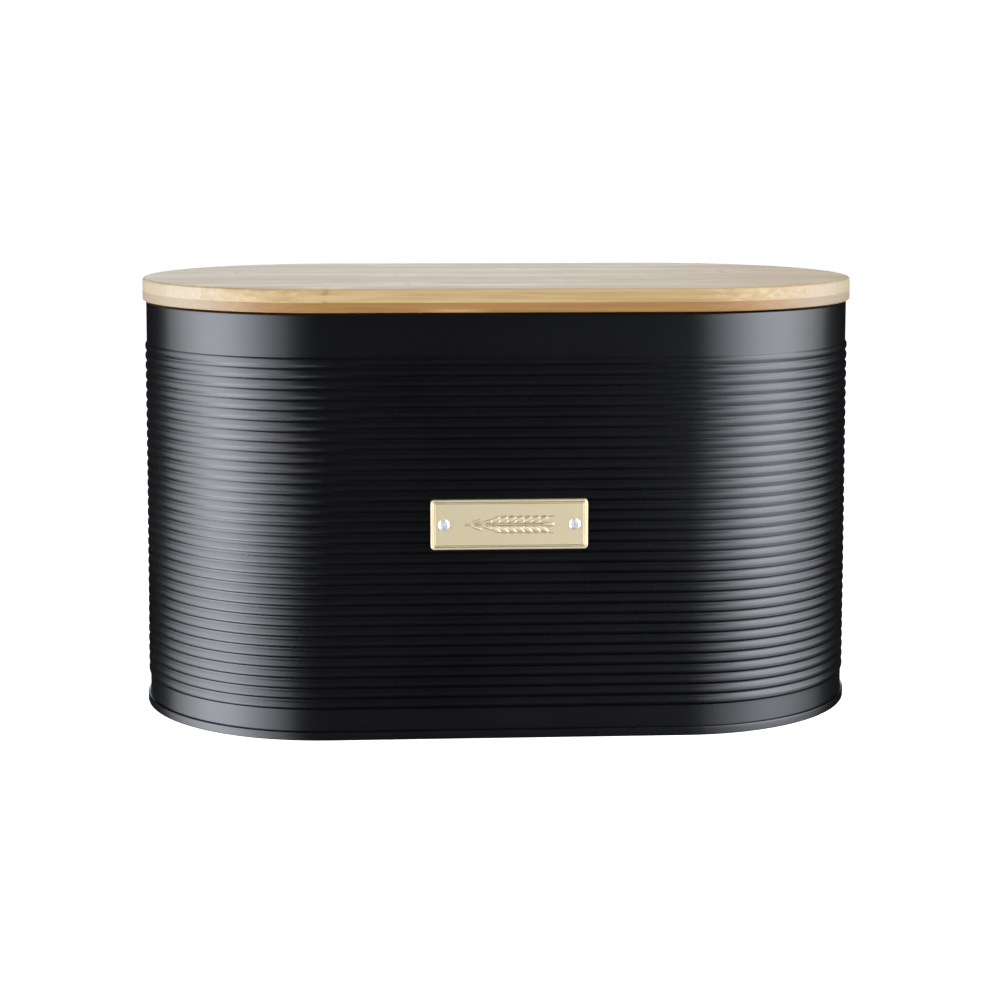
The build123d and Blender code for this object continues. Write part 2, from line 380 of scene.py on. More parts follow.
def bamboo():
    """Laminated bamboo: tone per strip, long fibres and pores, node marks, and bundles at the cut ends."""
    nodes = Nodes("bamboo")
    strip = nodes.add("ShaderNodeAttribute")
    strip.attribute_name = "strip"
    split = nodes.add("ShaderNodeSeparateXYZ", Vector=strip.outputs["Vector"])
    seed, tone, ply = split.outputs
    sideways = nodes.math("MULTIPLY", seed, GRAIN_SHIFT)
    shift = nodes.add("ShaderNodeCombineXYZ", X=sideways, Y=seed, Z=seed).outputs[0]

    fibres = nodes.noise(nodes.place((0.016, 0.60, 0.60), shift), detail=4.0, roughness=0.58)
    streak_place = nodes.place((0.006, 0.24, 0.36), shift)
    streaks = nodes.noise(streak_place, detail=3.0, roughness=0.55, distortion=0.3)
    pores = nodes.noise(nodes.place((0.035, 1.7, 1.7), shift), detail=1.0)
    dashes = nodes.ramp(pores, (0.57, 0.0), (0.70, 1.0))

    # Node marks: one narrow band across each strip every so often, with a flame of pale grain round it
    place = nodes.add("ShaderNodeSeparateXYZ", Vector=nodes.place())
    waver = nodes.noise(nodes.place((0.02, 0.25, 0.25), shift), detail=2.0)
    along = nodes.math("ADD", place.outputs[0], nodes.math("MULTIPLY", waver, NODE_WAVER))
    along = nodes.math("ADD", along, nodes.math("MULTIPLY", seed, NODE_SHIFT))
    cell = nodes.math("FRACT", nodes.math("DIVIDE", along, NODE_SPACING))
    away = nodes.math("ABSOLUTE", nodes.math("SUBTRACT", cell, 0.5))
    knot = nodes.ramp(away, (0.0, 1.0), (NODE_HALF_SHARE, 0.0))
    flame = nodes.ramp(away, (0.0, 1.0), (FLAME_HALF_SHARE, 0.0))

    ground = nodes.mix(ply, nodes.mix(tone, *PALE_GRAIN), nodes.mix(tone, *DEEP_GRAIN))
    dark_fibre = nodes.mix(ply, *DARK_FIBRE)
    colour = nodes.mix(nodes.ramp(streaks, (0.35, 0.0), (0.68, 0.60)), ground, dark_fibre)
    colour = nodes.mix(nodes.ramp(fibres, (0.40, 0.0), (0.66, 0.62)), colour, dark_fibre)
    colour = nodes.mix(nodes.math("MULTIPLY", dashes, 0.50), colour, dark_fibre)
    flame_grain = nodes.math("MULTIPLY", flame, nodes.ramp(streaks, (0.45, 0.0), (0.60, 0.7)))
    colour = nodes.mix(flame_grain, colour, nodes.mix(ply, *FLAME))
    knot_mark = nodes.math("MULTIPLY", knot, nodes.ramp(fibres, (0.42, 0.05), (0.62, 0.75)))
    colour = nodes.mix(knot_mark, colour, KNOT)

    # Cut ends: paler ground with the fibre bundles seen end on
    facing = nodes.add("ShaderNodeSeparateXYZ", Vector=nodes.add("ShaderNodeNewGeometry").outputs["Normal"])
    end_share = nodes.ramp(nodes.math("ABSOLUTE", facing.outputs[0]), (0.28, 0.0), (0.80, 1.0))
    bundles = nodes.add("ShaderNodeTexVoronoi", Vector=nodes.place((0.10, 1.7, 1.7), shift))
    spots = nodes.ramp(bundles.outputs["Distance"], (0.12, 0.55), (0.42, 0.0))
    end_tone = nodes.math("MULTIPLY", nodes.math("SUBTRACT", 1.0, tone), 0.35)
    end_ground = nodes.mix(end_tone, nodes.mix(ply, *CUT_END), DULL_END)
    end_colour = nodes.mix(spots, end_ground, BUNDLE)
    colour = nodes.mix(nodes.math("MULTIPLY", end_share, 0.85), colour, end_colour)

    gloss = nodes.scale(nodes.math("ADD", fibres, streaks), times=0.22, plus=0.24)
    nodes.set(Base_Color=colour, Roughness=gloss, Specular_IOR_Level=0.55)
    relief = nodes.math("ADD", fibres, nodes.math("MULTIPLY", dashes, -0.5))
    nodes.set(Normal=nodes.bump(relief, distance_mm=0.05, strength=0.5))
    return nodes.material


# The plate's colours, clouded at random, and the colour of painted shade on its relief's slopes
PLATE_COLOURS = (0.930, 0.800, 0.530, 1), (0.980, 0.860, 0.590, 1)
PLATE_PAINTED_SHADE = (0.160, 0.120, 0.050, 1)


def champagne_metal():
    """Pale gold plated sheet with a soft, slightly rolled sheen, darkened by painted shade where its relief
    faces up or down.
    """
    nodes = Nodes("champagne_metal")
    rolled = nodes.noise(nodes.place((0.06, 2.0, 2.0)), detail=3.0)
    cloud = nodes.noise(nodes.place((0.08, 0.08, 0.08)), detail=2.0)
    # The label's painted shade, stored on its points
    shade = nodes.add("ShaderNodeAttribute")
    shade.attribute_name = "shade"
    colour = nodes.mix(shade.outputs["Fac"], nodes.mix(cloud, *PLATE_COLOURS), PLATE_PAINTED_SHADE)
    nodes.set(Base_Color=colour, Roughness=nodes.scale(rolled, times=0.08, plus=0.43))
    nodes.set(Metallic=0.7, Coat_Weight=0.3, Coat_Roughness=0.2)
    nodes.set(Normal=nodes.bump(rolled, distance_mm=0.004, strength=0.5))
    return nodes.material


def bright_metal(name, colours, gloss_low, grain_scale):
    """Plain turned or formed metal with fine wear."""
    nodes = Nodes(name)
    wear = nodes.noise(nodes.place((grain_scale, grain_scale, grain_scale)), detail=4.0, roughness=0.65)
    nodes.set(Base_Color=nodes.mix(wear, *colours), Metallic=1.0)
    nodes.set(Roughness=nodes.scale(wear, times=0.20, plus=gloss_low))
    nodes.set(Normal=nodes.bump(wear, distance_mm=0.01, strength=0.4))
    return nodes.material


SILICONE_COLOURS = (0.80, 0.82, 0.80, 1), (0.90, 0.91, 0.89, 1)


def silicone():
    """Milky, half-clear silicone."""
    nodes = Nodes("clear_silicone")
    cloud = nodes.noise(nodes.place((0.3, 0.3, 0.3)), detail=2.0)
    colour = nodes.mix(cloud, *SILICONE_COLOURS)
    nodes.set(Base_Color=colour, Roughness=nodes.scale(cloud, times=0.12, plus=0.32))
    nodes.set(Transmission_Weight=0.45, IOR=1.41)
    nodes.set(Normal=nodes.bump(cloud, distance_mm=0.02, strength=0.3))
    return nodes.material


ALUMINIUM_COLOURS = (0.86, 0.88, 0.93, 1), (0.94, 0.95, 0.98, 1)
STEEL_COLOURS = (0.70, 0.74, 0.81, 1), (0.84, 0.87, 0.93, 1)

coat_material = black_coat()
bamboo_material = bamboo()
label_material = champagne_metal()
rivet_material = bright_metal("rivet_aluminium", ALUMINIUM_COLOURS, gloss_low=0.42, grain_scale=1.4)
stem_material = bright_metal("stem_steel", STEEL_COLOURS, gloss_low=0.50, grain_scale=4.0)
silicone_material = silicone()


def dress(obj, material, body, slot, *nodes):
    """Gives a finished piece its material and body, and hides the CAD nodes it stands for; the slot is not
    used.
    """
    obj.data.materials.append(material)
    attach(obj, body)
    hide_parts(*nodes)
    return obj


# ---------------------------------------------------------------- bin: wall and base

END_STEPS = 50
FRONT_XS = np.linspace(end_centre, -end_centre, 15)[1:-1]

# Steps round each valley, crest and curl, for the wall's outside and its inside
OUTSIDE_STEPS = (4, 8, 16)
INSIDE_STEPS = (3, 4, 10)

# The lap at the middle of the back, where the strip's ends meet: its stations, sizes and margins
LAP_XS = (-3.8, -3.2, -3.0, -2.4, -0.2, 0.0, 0.2, 2.4, 3.0, 3.2, 3.8)
LAP_HALF_WIDTH = 3.1
JOINT_LINE_DEPTH = 0.12
JOINT_LINE_HALF_WIDTH = 0.2
LAP_ABOVE_SEAM = 1.5
LAP_BELOW_CURL = 3.0

# Straight stretches of the wall's line: down into the seam, beside the beads, and under the curl
HOOK_REACH = 3.0
BAND_MARGIN = 2.0
CURL_MARGIN = 4.0

# Waves of the sheet: height, lengths along X, Y and Z, and phase; and where they fade in and out
SHEET_WAVES = (
    (0.09, 47.0, math.inf, 61.0, 0.6),
    (0.06, 23.0, math.inf, -39.0, 2.1),
    (0.05, math.inf, 31.0, 27.0, 0.0),
)
FOOT_FADE = (8.0, 40.0)
RIM_FADE = (165.0, 188.0)
LABEL_FADE = (30.0, 70.0)


def wall_line(dip_steps, crest_steps, curl_steps):
    """The wall sheet's centreline from inside the seam up to the end of the rim's curl."""
    line = -SHEET / 2
    turn = math.degrees(BEAD_ANGLE)
    rows = [[(line, SEAM_HEIGHT - HOOK_REACH, 1.0, 0.0)]]
    rows.append([(line, BEAD_FIRST_CREST - BEAD_PITCH / 2 - BAND_MARGIN, 1.0, 0.0)])
    for index in range(BEAD_COUNT + 1):
        height = BEAD_FIRST_CREST + (index - 0.5) * BEAD_PITCH
        below = 0 if index == 0 else turn
        above = 0 if index == BEAD_COUNT else turn
        dip = arc_points((line + VALLEY_RADIUS, height), VALLEY_RADIUS, 180 + below, 180 - above, dip_steps)
        dip[:, 2:] *= -1
        rows.append(dip)
        if index < BEAD_COUNT:
            centre = (line + BEAD_HEIGHT - CREST_RADIUS, height + BEAD_PITCH / 2)
            rows.append(arc_points(centre, CREST_RADIUS, -turn, turn, crest_steps)[1:-1])
    rows.append([(line, BEAD_LAST_CREST + BEAD_PITCH / 2 + BAND_MARGIN, 1.0, 0.0)])
    rows.append([(line, curl_centre - CURL_MARGIN, 1.0, 0.0)])
    rows.append(arc_points((line - CURL_RADIUS, curl_centre), CURL_RADIUS, 0, 270, curl_steps))
    return np.concatenate([np.array(part) for part in rows])


def sheet_waves(stations, heights):
    """Slight unevenness of thin rolled sheet, none at the rim, the foot or the label."""
    x, y = stations[:, 0:1], stations[:, 1:2]
    z = heights[None, :]
    wave = 0.0
    for height, x_length, y_length, z_length, phase in SHEET_WAVES:
        wave = wave + height * np.sin(x / x_length + y / y_length + z / z_length + phase)
    held = smoothstep(*FOOT_FADE, z) * (1 - smoothstep(*RIM_FADE, z))
    near_label = (1 - smoothstep(*LABEL_FADE, np.abs(x))) * (y < 0)
    return wave * held * (1 - near_label)


def build_wall():
    """The rolled wall, with its lap inside and its joint line outside at the middle of the back."""
    outside = wall_line(*OUTSIDE_STEPS)
    section = thicken(outside, wall_line(*INSIDE_STEPS), SHEET)
    heights = section[:, 1]
    inner = np.arange(len(section)) >= len(outside)
    back_xs = np.array(sorted(set(np.round(FRONT_XS, 6)) | set(LAP_XS), reverse=True))
    stations = slot_stations(END_STEPS, back_xs, FRONT_XS)
    offsets = section[:, 0][None, :] + sheet_waves(stations, heights)
    x, y = stations[:, 0:1], stations[:, 1:2]
    at_back = (y > 0) & (np.abs(stations[:, 2:3]) < NEARLY_ZERO)
    on_wall = (heights > SEAM_HEIGHT + LAP_ABOVE_SEAM) & (heights < curl_centre - LAP_BELOW_CURL)
    lap = at_back * (np.abs(x) < LAP_HALF_WIDTH) * inner[None, :] * on_wall[None, :]
    joint = at_back * np.clip(1 - np.abs(x) / JOINT_LINE_HALF_WIDTH, 0, 1)
    joint = joint * (~inner)[None, :] * on_wall[None, :]
    offsets = offsets - lap * SHEET - joint * JOINT_LINE_DEPTH
    vertices = place_section(stations, offsets, heights)
    faces = ring_faces(len(stations), len(section))
    obj = finish_mesh("wall", vertices, faces, sharp_angle=50.0)
    return dress(obj, coat_material, "bin", "coated_steel", "wall_shell")


PANEL_STEP = 0.8
PANEL_STEP_INSET = 13.0
PANEL_CENTRE_INSET = 18.0
PANEL_BEND = 0.9
COVER_HOOK_END = 1.15


def build_base():
    """The base panel and its edge, which is folded round the wall's foot."""
    chuck = -SHEET - LAYER_GAP - SHEET / 2
    seaming = 3 * LAYER - SHEET / 2
    hook = LAYER_GAP + SHEET / 2
    centre_height = foot_high.z - SHEET / 2
    panel_height = centre_height - PANEL_STEP
    corners = [
        (-PANEL_CENTRE_INSET, centre_height),
        (-PANEL_STEP_INSET - PANEL_BEND, centre_height),
        (-PANEL_STEP_INSET + PANEL_BEND, panel_height),
        (chuck, panel_height),
        (chuck, SHEET / 2),
        (seaming, SHEET / 2),
        (seaming, SEAM_HEIGHT - SHEET / 2),
        (hook, SEAM_HEIGHT - SHEET / 2),
        (hook, COVER_HOOK_END),
    ]
    line = rounded_line(corners, SEAM_BEND)
    section = thicken(line, line, SHEET)
    stations = slot_stations(END_STEPS, FRONT_XS)
    vertices = place_section(stations, section[:, 0], section[:, 1])
    columns = len(section)
    faces = ring_faces(len(stations), columns, wrap_columns=False)
    faces.append([row * columns for row in range(len(stations))])
    faces.append([row * columns + columns - 1 for row in range(len(stations))][::-1])
    obj = finish_mesh("base", vertices, faces, sharp_angle=50.0)
    return dress(obj, coat_material, "bin", "coated_steel", "base_pan")


build_wall()
build_base()


# ---------------------------------------------------------------- bin: label and rivets

label_low, label_high = box_mm("label_plate")
label_centre = (label_low + label_high) / 2
label_width = label_high.x - label_low.x
label_height = label_high.z - label_low.z
label_back = label_high.y

LABEL_CORNER = 2.0
LABEL_SHEET = 0.6
RIM_WIDTH = 1.35
RIM_RISE = 0.42
FIELD_START = 1.80
FIELD_EDGE = 0.28
FIELD_RISE = 0.24

# Wheat ear in relief along X: half sizes of its grains and leaves, where its lines run, and the
# heights of its stem, awns and leaves as shares of the whole
EAR_RISE = 0.42
EAR_GRAINS = 7
EAR_SPACING = 3.6
EAR_START = -6.2
EAR_OFFSET = 2.2
EAR_TILT = 32.0
EAR_GRAIN = (2.3, 0.95)
EAR_STEM_REACH = 20.0
EAR_STEM_STOP = 2.5
EAR_STEM_HALF_WIDTH = 0.4
EAR_STEM_SHARE = 0.8
EAR_LEAF_STARTS = (-17.5, -12.5)
EAR_LEAF = (3.0, 0.55)
EAR_LEAF_OFFSET = (2.5, 1.3)
EAR_LEAF_TILT = 22.0
EAR_LEAF_SHARE = 0.8
EAR_AWN = (2.6, 0.5)
EAR_AWN_HALF_WIDTH = 0.2
EAR_AWN_SHARE = 0.5
EAR_REACH = (23.0, 4.8)
SWELL_POWER = 0.38

# Painted shade on the plate: the slopes over which its faces darken, and how much where they face up or
# down, away from the side lights, and where they face sideways
PAINTED_SHADE_SLOPES = (0.25, 1.1)
UPRIGHT_PAINTED_SHADE = 0.92
SIDE_PAINTED_SHADE = 0.4


def swell(inside):
    """Pressed relief: steep at its outline and nearly flat on top."""
    return np.clip(inside, 0, 1) ** SWELL_POWER


def dome(x, z, centre, half_sizes, tilt_degrees):
    """Height of an oval swelling, from 0 outside it to 1 at its middle."""
    tilt = math.radians(tilt_degrees)
    u = (x - centre[0]) * math.cos(tilt) + (z - centre[1]) * math.sin(tilt)
    v = (z - centre[1]) * math.cos(tilt) - (x - centre[0]) * math.sin(tilt)
    return swell(1 - (u / half_sizes[0]) ** 2 - (v / half_sizes[1]) ** 2)


def ridge(x, z, start, end, half_width):
    """Height of a thin ridge between two points."""
    along = np.array(end, float) - start
    share = ((x - start[0]) * along[0] + (z - start[1]) * along[1]) / along.dot(along)
    share = np.clip(share, 0, 1)
    away = np.hypot(x - start[0] - share * along[0], z - start[1] - share * along[1])
    return swell(1 - (away / half_width) ** 2)


def wheat_ear(x, z):
    """The relief's height over the label, from 0 to 1."""
    stem_ends = (-EAR_STEM_REACH, 0.0), (EAR_STEM_REACH - EAR_STEM_STOP, 0.0)
    height = EAR_STEM_SHARE * ridge(x, z, *stem_ends, EAR_STEM_HALF_WIDTH)
    for side in (-1, 1):
        tilt = math.radians(side * EAR_TILT)
        for index in range(EAR_GRAINS):
            centre = (EAR_START + index * EAR_SPACING, side * EAR_OFFSET)
            height = np.maximum(height, dome(x, z, centre, EAR_GRAIN, side * EAR_TILT))
            tip = (centre[0] + EAR_GRAIN[0] * math.cos(tilt), centre[1] + EAR_GRAIN[0] * math.sin(tilt))
            end = (tip[0] + EAR_AWN[0], tip[1] + side * EAR_AWN[1])
            height = np.maximum(height, EAR_AWN_SHARE * ridge(x, z, tip, end, EAR_AWN_HALF_WIDTH))
        for start in EAR_LEAF_STARTS:
            centre = (start + EAR_LEAF_OFFSET[0], side * EAR_LEAF_OFFSET[1])
            leaf = dome(x, z, centre, EAR_LEAF, side * EAR_LEAF_TILT)
            height = np.maximum(height, EAR_LEAF_SHARE * leaf)
    tip_grain = (EAR_STEM_REACH - EAR_GRAIN[0], 0.0)
    return np.maximum(height, dome(x, z, tip_grain, EAR_GRAIN, 0.0))


def label_relief(x, z):
    """Height of the plate's face above its flat sheet."""
    beside = np.abs(x) - (label_width / 2 - LABEL_CORNER)
    above = np.abs(z) - (label_height / 2 - LABEL_CORNER)
    corner = np.hypot(np.maximum(beside, 0), np.maximum(above, 0))
    inset = LABEL_CORNER - corner - np.minimum(np.maximum(beside, above), 0)
    rim = np.sqrt(np.clip(1 - ((inset - RIM_WIDTH / 2) / (RIM_WIDTH / 2)) ** 2, 0, 1))
    field = smoothstep(FIELD_START, FIELD_START + FIELD_EDGE, inset)
    return RIM_RISE * rim + FIELD_RISE * field + EAR_RISE * wheat_ear(x, z)


def label_painted_shade(x, z, relief):
    """Painted shade where the relief faces up or down, away from the side lights, and less where it faces
    sideways, dimming its glints there, from 0 to 1.
    """
    rise = np.gradient(relief, axis=0) / np.gradient(z, axis=0)
    sideways = np.gradient(relief, axis=1) / np.gradient(x, axis=1)
    upright = UPRIGHT_PAINTED_SHADE * smoothstep(*PAINTED_SHADE_SLOPES, np.abs(rise))
    return np.maximum(upright, SIDE_PAINTED_SHADE * smoothstep(*PAINTED_SHADE_SLOPES, np.abs(sideways)))


# Spacing of the label's grid over the relief, between it and the border, and over the border
RELIEF_SPACING = 0.13
PLAIN_SPACING = 0.3
BORDER_SPACING = 0.09
BORDER_REACH = 2.4


def grid_lines(half, reach):
    """Lines across a width: finest at both edges, fine over the relief, coarse between."""
    border = half - BORDER_REACH
    out = [np.arange(0, reach, RELIEF_SPACING), np.arange(reach, border, PLAIN_SPACING)]
    out.append(np.arange(border, half - BORDER_SPACING / 2, BORDER_SPACING))
    out = np.append(np.concatenate(out), half)
    return np.concatenate([-out[:0:-1], out])


def build_label():
    """The pressed plate: a fine grid for its face, a folded edge and a flat back."""
    us = grid_lines(label_width / 2, EAR_REACH[0]) / (label_width / 2)
    zs = grid_lines(label_height / 2, EAR_REACH[1])
    deep = np.clip(np.abs(zs) - (label_height / 2 - LABEL_CORNER), 0, LABEL_CORNER)
    half_widths = label_width / 2 - LABEL_CORNER + np.sqrt(LABEL_CORNER**2 - deep**2)
    x = us[None, :] * half_widths[:, None]
    z = np.broadcast_to(zs[:, None], x.shape)
    relief = label_relief(x, z)
    out = LABEL_SHEET + relief
    front = np.stack([label_centre.x + x, label_back - out, label_centre.z + z], axis=-1).reshape(-1, 3)
    rows, columns = x.shape
    faces = grid_faces(rows, columns)
    border = [row * columns + column for row, column in grid_border(rows, columns)]
    back = front[border].copy()
    back[:, 1] = label_back
    start = len(front)
    vertices = np.concatenate([front, back])
    for index in range(len(border)):
        after = (index + 1) % len(border)
        faces.append((border[index], start + index, start + after, border[after]))
    faces.append([start + index for index in range(len(border))])
    obj = finish_mesh("label", vertices, faces, sharp_angle=80.0)
    # Painted shade on the face's slopes, none on the back
    shades = np.concatenate([label_painted_shade(x, z, relief).ravel(), np.zeros(len(back))])
    attribute = obj.data.attributes.new("shade", "FLOAT", "POINT")
    attribute.data.foreach_set("value", shades.astype(np.float32))
    return dress(obj, label_material, "bin", "label_brass", "label_plate")


STEM_RADIUS = 0.83
STEM_BORE_RADIUS = 0.85
STEM_RECESS = 0.20
STEM_HEAD_RADIUS = 1.45
STEM_HEAD_STEPS = 8
RIVET_SHANK_RADIUS = 1.6
RIVET_HEAD_RISE = 1.1
RIVET_HEAD_STEPS = 12
RIVET_BULB_LENGTH = 2.2
RIVET_BULB_RISE = 0.7
RIVET_BULB_HALF_ANGLE = 70.0
RIVET_BULB_STEPS = 8

# The head's upright edge and where its dome stops, in degrees; and the mouth of its bore, as pairs of
# distance out from the bore and depth below the top
RIVET_EDGE = 0.16
RIVET_DOME_STOP = 84.0
RIVET_MOUTH = ((0.0, 0.16), (0.06, 0.05), (0.18, 0.0))

# The rounded corner under the head's edge, as pairs of distance in and height
RIVET_UNDER_EDGE = ((0.0, 0.16), (0.05, 0.04), (0.14, 0.0))

# The stem's broken top, as pairs of radius and height above the recess
STEM_BREAK = ((0.0, 0.03), (0.45, 0.06), (0.70, 0.0), (STEM_RADIUS, -0.12))


def rivet_profile(head_radius, bulb_back):
    """A rivet body's section: bore, domed head, shank and the bulb behind the wall."""
    bulb_front = bulb_back + RIVET_BULB_LENGTH
    profile = [(STEM_BORE_RADIUS, bulb_back)]
    profile += [(STEM_BORE_RADIUS + out, RIVET_HEAD_RISE - depth) for out, depth in RIVET_MOUTH]
    mouth_radius = profile[-1][0]
    for step in range(1, RIVET_HEAD_STEPS + 1):
        angle = math.radians(90 - RIVET_DOME_STOP * step / RIVET_HEAD_STEPS)
        radius = mouth_radius + (head_radius - mouth_radius) * math.cos(angle)
        profile.append((radius, RIVET_EDGE + (RIVET_HEAD_RISE - RIVET_EDGE) * math.sin(angle)))
    profile += [(head_radius - inward, height) for inward, height in RIVET_UNDER_EDGE]
    profile += [(RIVET_SHANK_RADIUS, 0.0), (RIVET_SHANK_RADIUS, bulb_front)]
    for step in range(RIVET_BULB_STEPS + 1):
        angle = math.radians(RIVET_BULB_HALF_ANGLE * (1 - 2 * step / RIVET_BULB_STEPS))
        radius = RIVET_SHANK_RADIUS + RIVET_BULB_RISE * math.cos(angle)
        profile.append((radius, (bulb_front + bulb_back) / 2 + RIVET_BULB_LENGTH / 2 * math.sin(angle)))
    return profile + [(STEM_HEAD_RADIUS, bulb_back)]


def stem_profile(bulb_back, stem_end):
    """A broken stem's section: rough top, pin, and the round head that holds the bulb."""
    stem_top = RIVET_HEAD_RISE - STEM_RECESS
    profile = [(radius, stem_top + height) for radius, height in STEM_BREAK]
    profile += [(STEM_RADIUS, bulb_back), (STEM_HEAD_RADIUS, bulb_back)]
    for step in range(1, STEM_HEAD_STEPS + 1):
        angle = math.radians(90 * step / STEM_HEAD_STEPS)
        height = bulb_back + (stem_end - bulb_back) * math.sin(angle)
        profile.append((STEM_HEAD_RADIUS * math.cos(angle), height))
    return profile


def build_rivet(side_name):
    """One blind rivet: body and broken stem, each its own piece."""
    low, high = box_mm(f"label_rivet_{side_name}")
    stem_high = box_mm(f"rivet_stem_{side_name}")[1]
    seat = Vector(((low.x + high.x) / 2, low.y + RIVET_HEAD_RISE, (low.z + high.z) / 2))
    bulb_back = seat.y - high.y
    profile = rivet_profile((high.x - low.x) / 2, bulb_back)
    body = lathe(f"rivet_{side_name}", profile, seat, hollow=True)
    dress(body, rivet_material, "bin", "rivet_aluminium", f"label_rivet_{side_name}")

    pin = stem_profile(bulb_back, seat.y - stem_high.y)
    stem = lathe(f"rivet_stem_{side_name}_pin", pin, seat, hollow=False)
    dress(stem, stem_material, "bin", "stem_steel", f"rivet_stem_{side_name}")


build_label()
for side_name in ("left", "right"):
    build_rivet(side_name)


# ---------------------------------------------------------------- lid

LID_TOP_ROUND = 1.3
LID_UNDER_ROUND = 0.6
PLUG_ROUND = 0.5
STRIP_GROOVE = 0.07
STRIP_GROOVE_DEPTH = 0.06
SEAL_GROOVE_DEPTH = 1.6
SEAL_GROOVE_HEIGHT = 2.4
SEAL_GROOVE_DRAFT = 0.02

# Strips in each ply, the depth of the ply's colour from 0 to 1, and the range of its strips' tones
TOP_PLY = (9, 0.0, (0.1, 0.95))
UNDER_PLY = (8, 1.0, (0.1, 0.9))
PLUG_PLY = (8, 0.35, (0.1, 0.9))

# Points along a strip's end, columns of its grid, and the range of the seeds of its grain
EDGE_POINTS = 15
GRID_COLUMNS = 24
SEEDS = (3, 40)
strip_tones = np.random.default_rng(11)


def strip_edge(low, high, offset):
    """Right-hand outline of a strip: points at even angles between its two long sides."""
    radius = end_radius + offset
    start = math.asin(max(-1.0, low / radius))
    end = math.asin(min(1.0, high / radius))
    angles = np.linspace(start, end, EDGE_POINTS)
    return np.stack([end_centre + radius * np.cos(angles), radius * np.sin(angles)], axis=1)


def strip_grid(low, high, offset, height):
    """A strip's outline filled with rows of points, at one height."""
    right = strip_edge(low, high, offset)
    across = np.linspace(1, -1, GRID_COLUMNS + 1)
    x = right[:, 0][:, None] * across[None, :]
    y = np.broadcast_to(right[:, 1][:, None], x.shape)
    return np.stack([x, y, np.full(x.shape, height)], axis=-1)


def build_strip(name, node, low, high, levels, ply, tone):
    """A strip stacked from levels of (offset, height, narrowing); its top and bottom are filled grids."""
    lowest, highest = levels[0], levels[-1]
    bottom = strip_grid(low + lowest[2], high - lowest[2], lowest[0], lowest[1])
    rows, columns = bottom.shape[:2]
    border = grid_border(rows, columns)
    top = strip_grid(low + highest[2], high - highest[2], highest[0], highest[1])
    vertices = [bottom.reshape(-1, 3), top.reshape(-1, 3)]
    loops = [[row * columns + column for row, column in border]]
    count = 2 * rows * columns
    for offset, height, narrowing in levels[1:-1]:
        grid = strip_grid(low + narrowing, high - narrowing, offset, height)
        vertices.append(np.array([grid[row, column] for row, column in border]))
        loops.append(list(range(count, count + len(border))))
        count += len(border)
    loops.append([rows * columns + row * columns + column for row, column in border])
    faces = grid_faces(rows, columns) + grid_faces(rows, columns, start=rows * columns)
    for lower, upper in zip(loops, loops[1:]):
        for index in range(len(lower)):
            after = (index + 1) % len(lower)
            faces.append((lower[index], lower[after], upper[after], upper[index]))
    obj = finish_mesh(name, np.concatenate(vertices), faces, sharp_angle=40.0)
    attribute = obj.data.attributes.new("strip", "FLOAT_VECTOR", "POINT")
    seed = strip_tones.uniform(*SEEDS)
    values = np.tile((seed, tone, ply), len(obj.data.vertices))
    attribute.data.foreach_set("vector", values.astype(np.float32))
    return dress(obj, bamboo_material, "lid", "bamboo", node)


def round_levels(offset, height, radius, sense, steps=6):
    """Levels of a rounded edge that ends at a height: sense 1 at the top of a ply, -1 at its bottom."""
    levels = []
    for step in range(steps + 1):
        angle = math.pi / 2 * step / steps
        inward = radius * (1 - math.cos(angle))
        rise = radius * (1 - math.sin(angle))
        levels.append((offset - inward, height - sense * rise, 0.0))
    return levels if sense > 0 else levels[::-1]


def groove_end(levels, sense):
    """Ends a stack of levels with the fine groove between neighbouring strips."""
    offset, height, _ = levels[-1] if sense > 0 else levels[0]
    shoulder = (offset, height - sense * STRIP_GROOVE_DEPTH, 0.0)
    crown = (offset - STRIP_GROOVE, height, STRIP_GROOVE)
    return levels[:-1] + [shoulder, crown] if sense > 0 else [crown, shoulder] + levels[1:]


def build_ply(strip_name, ply_look, levels, depth_half):
    """All strips of one ply, side by side from the front to the back."""
    count, ply, tone_range = ply_look
    width = 2 * depth_half / count
    for index in range(count):
        low = -depth_half + index * width
        tone = strip_tones.uniform(*tone_range)
        node = f"{strip_name}_{index + 1}"
        build_strip(f"bamboo_{node}", node, low, low + width, levels, ply, tone)


def build_lid():
    """The lid's two full plies, and the smaller one under them with the seal's groove round it."""
    depth_half = end_radius + lid_offset
    top_levels = [(lid_offset, top_low.z, 0.0)]
    top_levels += round_levels(lid_offset, top_high.z, LID_TOP_ROUND, 1)
    build_ply("top_strip", TOP_PLY, groove_end(top_levels, 1), depth_half)

    under_levels = round_levels(lid_offset, under_low.z, LID_UNDER_ROUND, -1)
    under_levels += [(lid_offset, under_high.z, 0.0)]
    build_ply("under_strip", UNDER_PLY, groove_end(under_levels, -1), depth_half)

    groove_low = curl_centre - SEAL_GROOVE_HEIGHT / 2
    groove_high = curl_centre + SEAL_GROOVE_HEIGHT / 2
    plug_levels = round_levels(plug_offset, plug_low.z, PLUG_ROUND, -1)
    groove_floor = plug_offset - SEAL_GROOVE_DEPTH
    plug_levels += [(plug_offset, groove_low, 0.0), (groove_floor, groove_low + SEAL_GROOVE_DRAFT, 0.0)]
    plug_levels += [(groove_floor, groove_high - SEAL_GROOVE_DRAFT, 0.0), (plug_offset, groove_high, 0.0)]
    plug_levels += [(plug_offset, plug_high.z, 0.0)]
    build_ply("plug_strip", PLUG_PLY, groove_end(plug_levels, -1), end_radius + plug_offset)


SEAL_PLAY = 0.05
SEAL_LIP = 0.5
SEAL_LIP_STEPS = 8
SEAL_SHOULDER = 0.2


